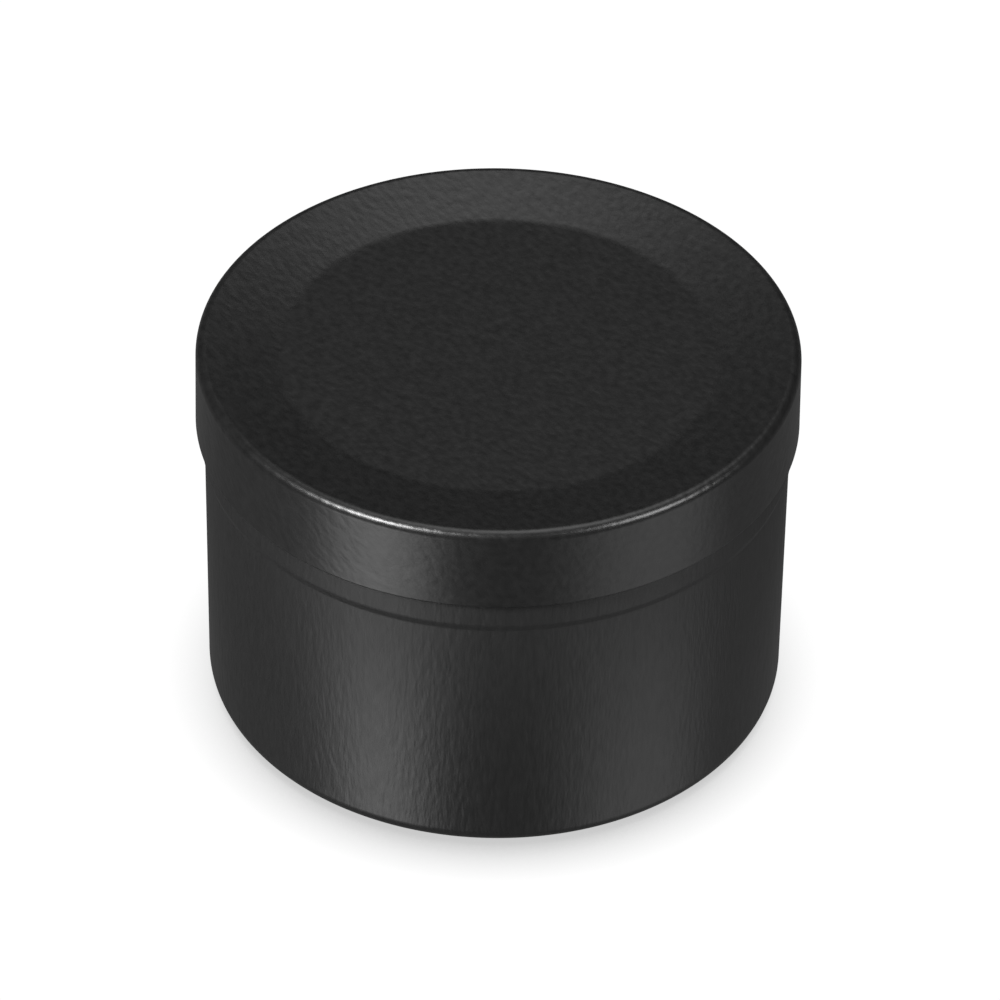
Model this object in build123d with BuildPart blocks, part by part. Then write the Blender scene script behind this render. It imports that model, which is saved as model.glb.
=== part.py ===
"""Round candle tin: a seamless drawn cup with a slip-on lid, in millimetres, +Z up.

The origin is the centre of the base, on the plane that the tin stands on.
Both pieces are revolved about Z from the outline of their painted, outer side,
which is then thickened inwards by one sheet of tinplate.
"""

import math
import os

from build123d import *

# Driving dimensions
LID_RADIUS = 40.1  # outside of the lid's skirt, at its edge
HEIGHT = 54.0  # closed tin, base to the top of the lid's rim
SHEET = 0.25  # tinplate thickness

# Lid
LID_DEPTH = 11.8  # top of the rim to the edge of the skirt
SKIRT_DRAFT = 0.2  # how much narrower the skirt is at the rim
RIM_BEND = 1.25  # outer radius of the lid's rounded rim
PANEL_RADIUS = 29.2  # flat panel in the middle of the lid
DISH_ANGLE = 9.4  # slope of the ring between the rim and the panel, in degrees
PANEL_BEND = 6.5  # radius of the soft crease where that ring meets the panel
HEM_HEIGHT = 1.4  # edge of the skirt, folded in against itself
HEM_WIDTH = 0.56  # across both layers of the fold
HEM_BEND = 0.27

# Body
WALL_RADIUS = 38.95  # outside of the wall
CORNER_BEND = 2.7  # wall to foot ring
FOOT_WIDTH = 3.4  # flat ring that the tin stands on
FOOT_SLOPE = 1.2  # width of the step from that ring up to the base panel
BASE_RECESS = 0.8  # how far the base panel stands above the foot ring
BASE_BEND = 0.6

# Neck: the top of the wall, expanded to fit the lid
NECK_STEP = 0.35  # how far it stands out of the wall
NECK_LOW = 37.4  # where it starts, below the lid's edge
NECK_RISE = 1.1  # height over which it slopes out
NECK_DRAFT = 0.1  # how much narrower it is at the mouth
STEP_INNER_BEND = 1.2
STEP_OUTER_BEND = 1.8

# Mouth
CURL_BEND = 0.9  # outer radius of the rim rolled inwards
CURL_TURN = 270.0  # how far round it is rolled, in degrees
LID_GAP = 0.1  # rim of the mouth to the underside of the lid

# Worked out from those
dish = math.radians(DISH_ANGLE)
rim_r = LID_RADIUS - SKIRT_DRAFT
crest_r = rim_r - RIM_BEND
crest_z = HEIGHT - RIM_BEND + RIM_BEND / math.cos(dish)  # sloped ring's line at crest_r
rim_corner_z = crest_z + RIM_BEND * math.tan(dish)  # that line carried out to the skirt
panel_z = crest_z - (crest_r - PANEL_RADIUS) * math.tan(dish)
lid_edge_z = HEIGHT - LID_DEPTH

mouth_r = WALL_RADIUS + NECK_STEP - NECK_DRAFT
curl_r = mouth_r - CURL_BEND
lid_underside_z = crest_z - (crest_r - curl_r) * math.tan(dish) - SHEET / math.cos(dish)
curl_z = lid_underside_z - LID_GAP - CURL_BEND
foot_inner_r = WALL_RADIUS - CORNER_BEND - FOOT_WIDTH

os.makedirs("parts", exist_ok=True)

# Body: base panel, foot ring, wall, neck and the rim rolled inwards
with BuildPart() as tin_body:
    with BuildSketch(Plane.XZ):
        with BuildLine():
            FilletPolyline(
                (0, BASE_RECESS),
                (foot_inner_r - FOOT_SLOPE, BASE_RECESS),
                (foot_inner_r, 0),
                (WALL_RADIUS, 0),
                (WALL_RADIUS, NECK_LOW),
                (WALL_RADIUS + NECK_STEP, NECK_LOW + NECK_RISE),
                (mouth_r, curl_z),
                radius=[BASE_BEND, BASE_BEND, CORNER_BEND, STEP_INNER_BEND, STEP_OUTER_BEND],
            )
            CenterArc((curl_r, curl_z), CURL_BEND, 0, CURL_TURN)
            offset(amount=SHEET, side=Side.RIGHT)
        make_face()
    revolve(axis=Axis.Z)

# Lid: flat panel, sloped ring, rounded rim, skirt and its folded edge
with BuildPart() as lid:
    with BuildSketch(Plane.XZ):
        with BuildLine():
            FilletPolyline(
                (0, panel_z),
                (PANEL_RADIUS, panel_z),
                (rim_r, rim_corner_z),
                (LID_RADIUS, lid_edge_z),
                (LID_RADIUS - HEM_WIDTH, lid_edge_z),
                (LID_RADIUS - HEM_WIDTH, lid_edge_z + HEM_HEIGHT),
                radius=[PANEL_BEND, RIM_BEND, HEM_BEND, HEM_BEND],
            )
            offset(amount=SHEET, side=Side.RIGHT)
        make_face()
    revolve(axis=Axis.Z)

for name, piece in (("tin_body", tin_body), ("lid", lid)):
    piece.part.label = name
    export_step(piece.part, f"parts/{name}.step")
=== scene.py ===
"""Looks of a closed, black, seamless candle tin. Everything is in metres, in the CAD part's frame."""

import math

import bpy
import numpy as np
from mathutils import Matrix, Vector


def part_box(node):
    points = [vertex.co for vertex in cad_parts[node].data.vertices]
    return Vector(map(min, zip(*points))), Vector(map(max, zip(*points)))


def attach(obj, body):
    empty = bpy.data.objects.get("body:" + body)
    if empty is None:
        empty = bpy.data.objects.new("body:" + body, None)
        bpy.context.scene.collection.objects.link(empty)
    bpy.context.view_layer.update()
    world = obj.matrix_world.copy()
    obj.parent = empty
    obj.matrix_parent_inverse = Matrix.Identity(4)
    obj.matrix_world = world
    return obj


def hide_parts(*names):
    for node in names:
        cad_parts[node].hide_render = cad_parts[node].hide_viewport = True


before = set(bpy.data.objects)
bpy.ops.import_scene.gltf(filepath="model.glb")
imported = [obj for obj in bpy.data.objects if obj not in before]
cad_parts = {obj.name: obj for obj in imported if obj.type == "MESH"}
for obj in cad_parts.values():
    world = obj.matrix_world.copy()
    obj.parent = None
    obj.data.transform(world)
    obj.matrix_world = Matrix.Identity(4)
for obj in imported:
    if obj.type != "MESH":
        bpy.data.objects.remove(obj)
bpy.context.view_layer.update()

MM = 0.001
body_low, body_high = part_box("tin_body")
lid_low, lid_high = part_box("lid")

# ---------------------------------------------------------------- sizes
SHEET = 0.25 * MM  # tinplate thickness
TURNS = 384  # faces round the tin
ARC_STEP = math.radians(7)  # longest step along a bend of the outline
LONGEST_RUN = 2.5 * MM  # longest step along a straight stretch
NOTHING = 1e-9  # a length that counts as none

# Lid
SKIRT_DRAFT = 0.2 * MM
RIM_BEND = 1.25 * MM
PANEL_RADIUS = 29.2 * MM
DISH = math.radians(9.4)
PANEL_BEND = 6.5 * MM
HEM_HEIGHT = 1.4 * MM
HEM_WIDTH = 0.56 * MM
HEM_BEND = 0.27 * MM

# Body
NECK_STEP = 0.35 * MM
NECK_DRAFT = 0.1 * MM
NECK_LOW = 37.4 * MM
NECK_RISE = 1.1 * MM
STEP_INNER_BEND = 1.2 * MM
STEP_OUTER_BEND = 1.8 * MM
CORNER_BEND = 2.7 * MM
FOOT_WIDTH = 3.4 * MM
FOOT_SLOPE = 1.2 * MM
BASE_RECESS = 0.8 * MM
BASE_BEND = 0.6 * MM
CURL_BEND = 0.9 * MM
CURL_TURN = math.radians(270)


# ---------------------------------------------------------------- outlines, as (radius, height) pairs
def arc(centre, radius, start, turn):
    """Points of an arc and their right-hand normals. It goes counter-clockwise if turn is positive."""
    steps = max(3, math.ceil(abs(turn) / ARC_STEP))
    angles = [start + turn * i / steps for i in range(steps + 1)]
    rays = [np.array((math.cos(angle), math.sin(angle))) for angle in angles]
    return [(centre + radius * ray, ray * math.copysign(1, turn)) for ray in rays]


def right_of(along):
    """The direction on the right-hand side of a direction."""
    return np.array((along[1], -along[0]))


def rounded(corners, bends):
    """The line through corners, each inner one rounded by its bend: (point, right-hand normal) pairs."""
    corners = [np.array(corner, float) for corner in corners]
    runs = [end - start for start, end in zip(corners, corners[1:])]
    ways = [run / np.linalg.norm(run) for run in runs]
    outline = [(corners[0], right_of(ways[0]))]
    for corner, into, out, bend in zip(corners[1:], ways, ways[1:], bends):
        turn = math.atan2(into[0] * out[1] - into[1] * out[0], into @ out)
        start = corner - into * bend * math.tan(abs(turn) / 2)
        centre = start - right_of(into) * math.copysign(bend, turn)
        across, up = start - centre
        outline += arc(centre, bend, math.atan2(up, across), turn)
    return outline + [(corners[-1], right_of(ways[-1]))]


def filled_in(outline):
    """Adds points along the straight stretches, so that no face is very long."""
    dense = [outline[0]]
    for (here, normal), (there, next_normal) in zip(outline, outline[1:]):
        gap = np.linalg.norm(there - here)
        if gap < NOTHING:
            continue
        steps = math.ceil(gap / LONGEST_RUN)
        for k in range(1, steps + 1):
            t = k / steps
            between = normal * (1 - t) + next_normal * t
            dense.append((here * (1 - t) + there * t, between / np.linalg.norm(between)))
    return dense


def body_outline():
    """From the middle of the base, out and up the wall, to the end of the curled rim."""
    neck_radius = body_high.x
    wall_radius = neck_radius - NECK_STEP
    mouth_radius = neck_radius - NECK_DRAFT
    foot_inner = wall_radius - CORNER_BEND - FOOT_WIDTH
    curl_centre = np.array((mouth_radius - CURL_BEND, body_high.z - CURL_BEND))
    wall = rounded(
        [
            (0, BASE_RECESS),
            (foot_inner - FOOT_SLOPE, BASE_RECESS),
            (foot_inner, 0),
            (wall_radius, 0),
            (wall_radius, NECK_LOW),
            (neck_radius, NECK_LOW + NECK_RISE),
            (mouth_radius, curl_centre[1]),
        ],
        [BASE_BEND, BASE_BEND, CORNER_BEND, STEP_INNER_BEND, STEP_OUTER_BEND],
    )
    return wall + arc(curl_centre, CURL_BEND, 0, CURL_TURN)[1:]


def lid_outline():
    """From the middle of the panel, out over the rim and down the skirt, to the end of the hem."""
    rim_radius = lid_high.x - SKIRT_DRAFT
    crest_radius = rim_radius - RIM_BEND
    crest = lid_high.z - RIM_BEND + RIM_BEND / math.cos(DISH)
    panel = crest - (crest_radius - PANEL_RADIUS) * math.tan(DISH)
    hem_radius = lid_high.x - HEM_WIDTH
    return rounded(
        [
            (0, panel),
            (PANEL_RADIUS, panel),
            (rim_radius, crest + RIM_BEND * math.tan(DISH)),
            (lid_high.x, lid_low.z),
            (hem_radius, lid_low.z),
            (hem_radius, lid_low.z + HEM_HEIGHT),
        ],
        [PANEL_BEND, RIM_BEND, HEM_BEND, HEM_BEND],
    )


# ---------------------------------------------------------------- meshes
def turned(pair, angle):
    """A (radius, height) pair carried round Z; angle 0 is the front."""
    return (pair[0] * math.sin(angle), -pair[0] * math.cos(angle), pair[1])


def cut_normal(before, start, end):
    """Normal of the sheet's cut edge, which runs from start to end, facing away from the point before it."""
    normal = right_of(end - start) / np.linalg.norm(end - start)
    return normal if normal @ (start - before) >= 0 else -normal


def lathe(name, outline, inwards):
    """A closed sheet-metal shell turned about Z from its painted side's outline.

    inwards is the sign that takes an outline normal to the sheet's other side. Faces of the painted
    side get material 0 and those of the bare side material 1; normals are those of the outline.
    """
    outer = filled_in(outline)
    section = [(point, -inwards * normal) for point, normal in outer]
    section += [(point + inwards * SHEET * normal, inwards * normal) for point, normal in reversed(outer)]
    on_axis = [abs(point[0]) < NOTHING for point, _ in section]
    angles = [2 * math.pi * k / TURNS for k in range(TURNS)]
    verts = []
    first = []  # the first vertex of each row
    for (point, _), single in zip(section, on_axis):
        first.append(len(verts))
        verts += [turned(point, angle) for angle in ([0] if single else angles)]

    last = len(outer) - 1  # where the painted side ends, at the sheet's cut edge
    cut = cut_normal(section[last - 1][0], section[last][0], section[last + 1][0])
    faces = []
    slots = []
    normals = []
    for i in range(len(section) - 1):
        j = i + 1
        for k in range(TURNS):
            n = (k + 1) % TURNS
            corners = [(i, k), (i, n), (j, n), (j, k)]
            if on_axis[i]:
                corners = [(i, 0), (j, n), (j, k)]
            if on_axis[j]:
                corners = [(i, k), (i, n), (j, 0)]
            if inwards > 0:
                corners = corners[:1] + corners[:0:-1]
            faces.append([first[row] + (0 if on_axis[row] else col) for row, col in corners])
            slots.append(0 if i <= last else 1)
            normals += [turned(cut if i == last else section[row][1], angles[col]) for row, col in corners]

    mesh = bpy.data.meshes.new(name)
    mesh.from_pydata(verts, [], faces)
    mesh.polygons.foreach_set("use_smooth", [True] * len(faces))
    mesh.polygons.foreach_set("material_index", slots)
    mesh.normals_split_custom_set(normals)
    mesh.update()
    piece = bpy.data.objects.new(name, mesh)
    bpy.context.scene.collection.objects.link(piece)
    return piece


# ---------------------------------------------------------------- materials
WALL_UPRIGHT = 0.25  # height of the unit normal up to which a surface is a wall
FLAT_UPRIGHT = 0.75  # and from which it is flat


class Nodes:
    """Short calls for building a node tree."""

    def __init__(self, tree):
        self.tree = tree
        self.tree.nodes.clear()

    def add(self, kind, **settings):
        node = self.tree.nodes.new(kind)
        for key, value in settings.items():
            setattr(node, key, value)
        return node

    def put(self, socket, value):
        if isinstance(value, bpy.types.NodeSocket):
            self.tree.links.new(value, socket)
        else:
            socket.default_value = value

    def maths(self, operation, *values):
        node = self.add("ShaderNodeMath", operation=operation)
        for socket, value in zip(node.inputs, values):
            self.put(socket, value)
        return node.outputs[0]

    def noise(self, place, stretch, turn, scale, detail, roughness):
        """Noise over place, stretched along axes that are turned by the Euler angles."""
        axes = self.add("ShaderNodeMapping", vector_type="TEXTURE")
        texture = self.add("ShaderNodeTexNoise")
        for socket, value in (
            (axes.inputs["Vector"], place),
            (axes.inputs["Rotation"], turn),
            (axes.inputs["Scale"], stretch),
            (texture.inputs["Vector"], axes.outputs[0]),
            (texture.inputs["Scale"], scale),
            (texture.inputs["Detail"], detail),
            (texture.inputs["Roughness"], roughness),
        ):
            self.put(socket, value)
        return texture.outputs["Fac"]

    def between(self, value, low, high, to_low, to_high, smooth=False):
        """Carries value from one range to another, and no further than its ends."""
        node = self.add("ShaderNodeMapRange")
        node.interpolation_type = "SMOOTHSTEP" if smooth else "LINEAR"
        for key, number in zip(
            ("Value", "From Min", "From Max", "To Min", "To Max"),
            (value, low, high, to_low, to_high),
        ):
            self.put(node.inputs[key], number)
        return node.outputs["Result"]

    def blend(self, factor, a, b):
        node = self.add("ShaderNodeMix", data_type="FLOAT")
        for key, value in zip(("Factor", "A", "B"), (factor, a, b)):
            self.put(node.inputs[key], value)
        return node.outputs["Result"]

    def flatness(self):
        """0 on a wall and 1 on a panel, from the surface's normal."""
        facing = self.add("ShaderNodeSeparateXYZ")
        self.put(facing.inputs[0], self.add("ShaderNodeNewGeometry").outputs["Normal"])
        upright = self.maths("ABSOLUTE", facing.outputs["Z"])
        return self.between(upright, WALL_UPRIGHT, FLAT_UPRIGHT, 0.0, 1.0, smooth=True)

    def surface(self, shader, height, distance):
        """Makes shader the material's surface, with height times distance as its relief."""
        bump = self.add("ShaderNodeBump")
        bump.inputs["Distance"].default_value = distance
        self.put(bump.inputs["Height"], height)
        self.put(shader.inputs["Normal"], bump.outputs["Normal"])
        output = self.add("ShaderNodeOutputMaterial")
        self.put(output.inputs["Surface"], shader.outputs["BSDF"])


ROLLED = (0, math.radians(35), math.radians(-58))  # a diagonal, down to the front right
UPRIGHT = (0, 0, 0)

# Noise patterns: stretch, the turn of its axes, scale, detail and roughness
ROLLED_GRAIN = ((1.9, 1, 1), ROLLED, 1150, 0.6, 0.5)
ROLLED_MOTTLE = ((1.8, 1, 1), ROLLED, 950, 3.0, 0.6)
DRAWN_GRAIN = ((1, 1, 4), UPRIGHT, 1700, 1.0, 0.5)
DRAWN_MOTTLE = ((1, 1, 4), UPRIGHT, 1500, 3.0, 0.6)
CLOUDS = ((1, 1, 1.5), UPRIGHT, 260, 2.0, 0.5)
ROLLED_TINPLATE = ((8, 1, 1), ROLLED, 2600, 3.0, 0.6)
DRAWN_TINPLATE = ((1, 1, 12), UPRIGHT, 2400, 3.0, 0.6)

NOISE_RANGE = (0.2, 0.8)  # the values that the patterns of the coating mostly keep to
BLACK = (0.0073, 0.0073, 0.0073, 1)
BLACK_TONE = (0.7, 1.3)  # times that, from the darkest of its grain to the lightest
COATING_SPECULAR = 0.5
COATING_IOR = 1.45
SATIN = (0.288, 0.348)  # roughness over the mottling; under 0.275 the denoiser leaves dark specks
CLOUDING = 0.012  # how far clouds carry that roughness either way
PULLED_ROUGHNESS = 0.21  # how much rougher the drawn wall is at its top, where the sheet was pulled most
FLAT_RELIEF = 0.041 * MM  # depth of the grain on a flat
ROLLED_RELIEF = 0.03 * MM  # and on the lid's skirt
DRAWN_RELIEF = 0.042 * MM  # and on the body's wall
MOTTLE_RELIEF = 0.028 * MM  # depth of the mottling everywhere

TINPLATE_DARK = (0.42, 0.415, 0.40, 1)
TINPLATE_LIGHT = (0.55, 0.545, 0.53, 1)
TINPLATE_NOISE_RANGE = (0.3, 0.7)  # the middle of its pattern's values, for more contrast
TINPLATE_ROUGHNESS = (0.28, 0.38)
TINPLATE_RELIEF = 0.006 * MM


def black_coating(name, drawn):
    """Satin black coating over tinplate: fine rolled grain, and upright streaks on a deeply drawn wall."""
    material = bpy.data.materials.new(name)
    material.use_nodes = True
    nodes = Nodes(material.node_tree)
    place = nodes.add("ShaderNodeTexCoord").outputs["Object"]
    is_flat = nodes.flatness()
    flat_grain = nodes.noise(place, *ROLLED_GRAIN)
    wall_grain = nodes.noise(place, *DRAWN_GRAIN) if drawn else flat_grain
    grain = nodes.blend(is_flat, wall_grain, flat_grain)
    mottle = nodes.noise(place, *(DRAWN_MOTTLE if drawn else ROLLED_MOTTLE))
    clouds = nodes.noise(place, *CLOUDS)

    shader = nodes.add("ShaderNodeBsdfPrincipled")
    shader.inputs["Specular IOR Level"].default_value = COATING_SPECULAR
    shader.inputs["IOR"].default_value = COATING_IOR
    colour = nodes.add("ShaderNodeMix", data_type="RGBA", blend_type="MULTIPLY")
    colour.inputs["Factor"].default_value = 1.0
    colour.inputs["A"].default_value = BLACK
    nodes.put(colour.inputs["B"], nodes.between(grain, *NOISE_RANGE, *BLACK_TONE))
    nodes.put(shader.inputs["Base Color"], colour.outputs["Result"])

    satin = nodes.between(mottle, *NOISE_RANGE, *SATIN)
    clouding = nodes.between(clouds, *NOISE_RANGE, -CLOUDING, CLOUDING)
    rough = nodes.maths("ADD", satin, clouding)
    if drawn:
        level = nodes.add("ShaderNodeSeparateXYZ")
        nodes.put(level.inputs[0], place)
        pulled = nodes.between(level.outputs["Z"], 0.0, body_high.z, 0.0, PULLED_ROUGHNESS, smooth=True)
        rough = nodes.maths("ADD", rough, pulled)
    nodes.put(shader.inputs["Roughness"], rough)

    relief = nodes.blend(is_flat, DRAWN_RELIEF if drawn else ROLLED_RELIEF, FLAT_RELIEF)
    grain_height = nodes.maths("MULTIPLY", grain, relief)
    mottle_height = nodes.maths("MULTIPLY", mottle, MOTTLE_RELIEF)
    nodes.surface(shader, nodes.maths("ADD", grain_height, mottle_height), 1.0)
    return material


def bare_tinplate(name):
    """Inside of the sheet: tinplate under clear lacquer, with drawn streaks on the walls."""
    material = bpy.data.materials.new(name)
    material.use_nodes = True
    nodes = Nodes(material.node_tree)
    place = nodes.add("ShaderNodeTexCoord").outputs["Object"]
    flat_grain = nodes.noise(place, *ROLLED_TINPLATE)
    wall_grain = nodes.noise(place, *DRAWN_TINPLATE)
    grain = nodes.blend(nodes.flatness(), wall_grain, flat_grain)
    shader = nodes.add("ShaderNodeBsdfPrincipled")
    shader.inputs["Metallic"].default_value = 1.0
    colour = nodes.add("ShaderNodeMix", data_type="RGBA")
    nodes.put(colour.inputs["Factor"], grain)
    colour.inputs["A"].default_value = TINPLATE_DARK
    colour.inputs["B"].default_value = TINPLATE_LIGHT
    nodes.put(shader.inputs["Base Color"], colour.outputs["Result"])
    nodes.put(shader.inputs["Roughness"], nodes.between(grain, *TINPLATE_NOISE_RANGE, *TINPLATE_ROUGHNESS))
    nodes.surface(shader, grain, TINPLATE_RELIEF)
    return material


# ---------------------------------------------------------------- pieces
def build_piece(name, node, body, outline, inwards, drawn):
    """One sheet-metal piece, which stands for a CAD node and rides on its body."""
    piece = lathe(name, outline, inwards)
    piece.data.materials.append(black_coating(name + "_coating", drawn))
    piece.data.materials.append(bare_tinplate(name + "_inside"))
    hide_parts(node)
    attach(piece, body)


build_piece("tin_shell", "tin_body", "tin", body_outline(), inwards=-1, drawn=True)
build_piece("lid_shell", "lid", "cover", lid_outline(), inwards=1, drawn=False)


# ---------------------------------------------------------------- floor and light
FLOOR_REACH = 3.0  # from the tin to the floor's sides
CONTACT_REACH = 8 * MM  # how far from the tin its painted soft shadow reaches
CONTACT_OPENNESS = 0.33  # share of the open hemisphere that the occlusion finds where the floor meets the tin, where the painted shadow is darkest
CONTACT_WHITE = 0.585  # brightness of the floor there
OPEN_WHITE = 1.03  # brightness of the floor away from the tin
SHADOW_CURVE = 0.5  # under 1, the painted shadow fades sooner
SHADOW_SAMPLES = 12
SHADOW_LEAN = (0, 0.6, 1)  # the painted shadow's occlusion leans this way, as for light from above and a little from behind


def pale_floor():
    """A white sheet that glows evenly, with a painted soft shadow, from ambient occlusion, only where the
    tin stands close.
    """
    mesh = bpy.data.meshes.new("floor")
    corners = [(x * FLOOR_REACH, y * FLOOR_REACH, 0) for x, y in ((-1, -1), (1, -1), (1, 1), (-1, 1))]
    mesh.from_pydata(corners, [], [(0, 1, 2, 3)])
    floor = bpy.data.objects.new("floor", mesh)
    bpy.context.scene.collection.objects.link(floor)
    material = bpy.data.materials.new("floor_white")
    material.use_nodes = True
    nodes = Nodes(material.node_tree)
    painted_shadow_occlusion = nodes.add("ShaderNodeAmbientOcclusion", samples=SHADOW_SAMPLES)
    painted_shadow_occlusion.inputs["Distance"].default_value = CONTACT_REACH
    lean = nodes.add("ShaderNodeVectorMath", operation="NORMALIZE")
    lean.inputs[0].default_value = SHADOW_LEAN
    nodes.put(painted_shadow_occlusion.inputs["Normal"], lean.outputs["Vector"])
    openness = nodes.between(painted_shadow_occlusion.outputs["AO"], CONTACT_OPENNESS, 1.0, 0.0, 1.0)
    openness = nodes.maths("POWER", openness, SHADOW_CURVE)
    # painted shadow: the floor's glow is dimmed where ambient occlusion finds the tin close; no lamp casts
    # it
    white = nodes.add("ShaderNodeEmission")
    nodes.put(white.inputs["Strength"], nodes.between(openness, 0.0, 1.0, CONTACT_WHITE, OPEN_WHITE))
    clear = nodes.add("ShaderNodeBsdfTransparent")
    side = nodes.add("ShaderNodeMixShader")
    nodes.put(side.inputs[0], nodes.add("ShaderNodeNewGeometry").outputs["Backfacing"])
    nodes.put(side.inputs[1], white.outputs["Emission"])
    nodes.put(side.inputs[2], clear.outputs["BSDF"])
    output = nodes.add("ShaderNodeOutputMaterial")
    nodes.put(output.inputs["Surface"], side.outputs["Shader"])
    floor.data.materials.append(material)
    floor.visible_glossy = False
    floor.visible_diffuse = False
    floor.visible_shadow = False


def towards(azimuth, elevation):
    """Unit vector to a point of the studio. Azimuth 0 is the camera's side, 90 is to the right."""
    a, e = math.radians(azimuth), math.radians(elevation)
    return (math.sin(a) * math.cos(e), -math.cos(a) * math.cos(e), math.sin(e))


SOFTBOXES = [
    # azimuth, elevation, half-width, brightness; those below the horizon are mirrored in the table
    (-50, 45, 9, 77),
    (60, 34, 11, 18),
    (165, 74, 19, 2.55),
    (-44, -29, 16, 3.75),
    (58, -36, 21, 0.97),
    (-88, -36, 16, 0.09),
    (100, -36, 24, 0.06),
]
SOFT_EDGE = 0.6  # of a softbox's half-width
ROOM = 0.03  # brightness of the room
TABLE = 0.14  # brightness of the table as the tin reflects it
HORIZON = 0.14  # half the height of the blend from table to room, as the sine of its elevation


def studio():
    """A dim room with soft round lights in it, seen only in reflections and as light."""
    world = bpy.data.worlds.new("studio")
    bpy.context.scene.world = world
    world.use_nodes = True
    nodes = Nodes(world.node_tree)
    sight = nodes.add("ShaderNodeTexCoord").outputs["Generated"]
    height = nodes.add("ShaderNodeSeparateXYZ")
    nodes.put(height.inputs[0], sight)
    total = nodes.between(height.outputs["Z"], -HORIZON, HORIZON, TABLE, ROOM, smooth=True)
    for azimuth, elevation, half_width, brightness in SOFTBOXES:
        near = nodes.add("ShaderNodeVectorMath", operation="DOT_PRODUCT")
        nodes.put(near.inputs[0], sight)
        near.inputs[1].default_value = towards(azimuth, elevation)
        off_axis = nodes.maths("ARCCOSINE", near.outputs["Value"])
        inner = math.radians(half_width * (1 - SOFT_EDGE))
        outer = math.radians(half_width * (1 + SOFT_EDGE))
        glow = nodes.between(off_axis, inner, outer, brightness, 0.0, smooth=True)
        total = nodes.maths("ADD", glow, total)
    shader = nodes.add("ShaderNodeBackground")
    nodes.put(shader.inputs["Color"], total)
    output = nodes.add("ShaderNodeOutputWorld")
    nodes.put(output.inputs["Surface"], shader.outputs["Background"])


# ---------------------------------------------------------------- camera
CAMERA_ELEVATION = 39.17  # degrees above the horizon
CAMERA_ROLL = math.radians(0.864)
CAMERA_DISTANCE = 0.8354
CLIP = (0.05, 20)
FOCAL = 6.2164  # focal length over the picture's width
SHIFT = (0.00367, 0.00234)  # the framing's small offset, in picture widths


def camera():
    data = bpy.data.cameras.new("camera")
    data.lens = FOCAL * data.sensor_width
    data.shift_x, data.shift_y = SHIFT
    data.clip_start, data.clip_end = CLIP
    seen = bpy.data.objects.new("camera", data)
    bpy.context.scene.collection.objects.link(seen)
    middle = Vector((0, 0, lid_high.z / 2))
    back = Vector(towards(0, CAMERA_ELEVATION))
    roll = Matrix.Rotation(CAMERA_ROLL, 3, "Z").to_quaternion()
    seen.rotation_mode = "QUATERNION"
    seen.rotation_quaternion = (-back).to_track_quat("-Z", "Y") @ roll
    seen.location = middle + back * CAMERA_DISTANCE
    bpy.context.scene.camera = seen


pale_floor()
studio()
camera()
bpy.context.scene.view_settings.view_transform = "Standard"
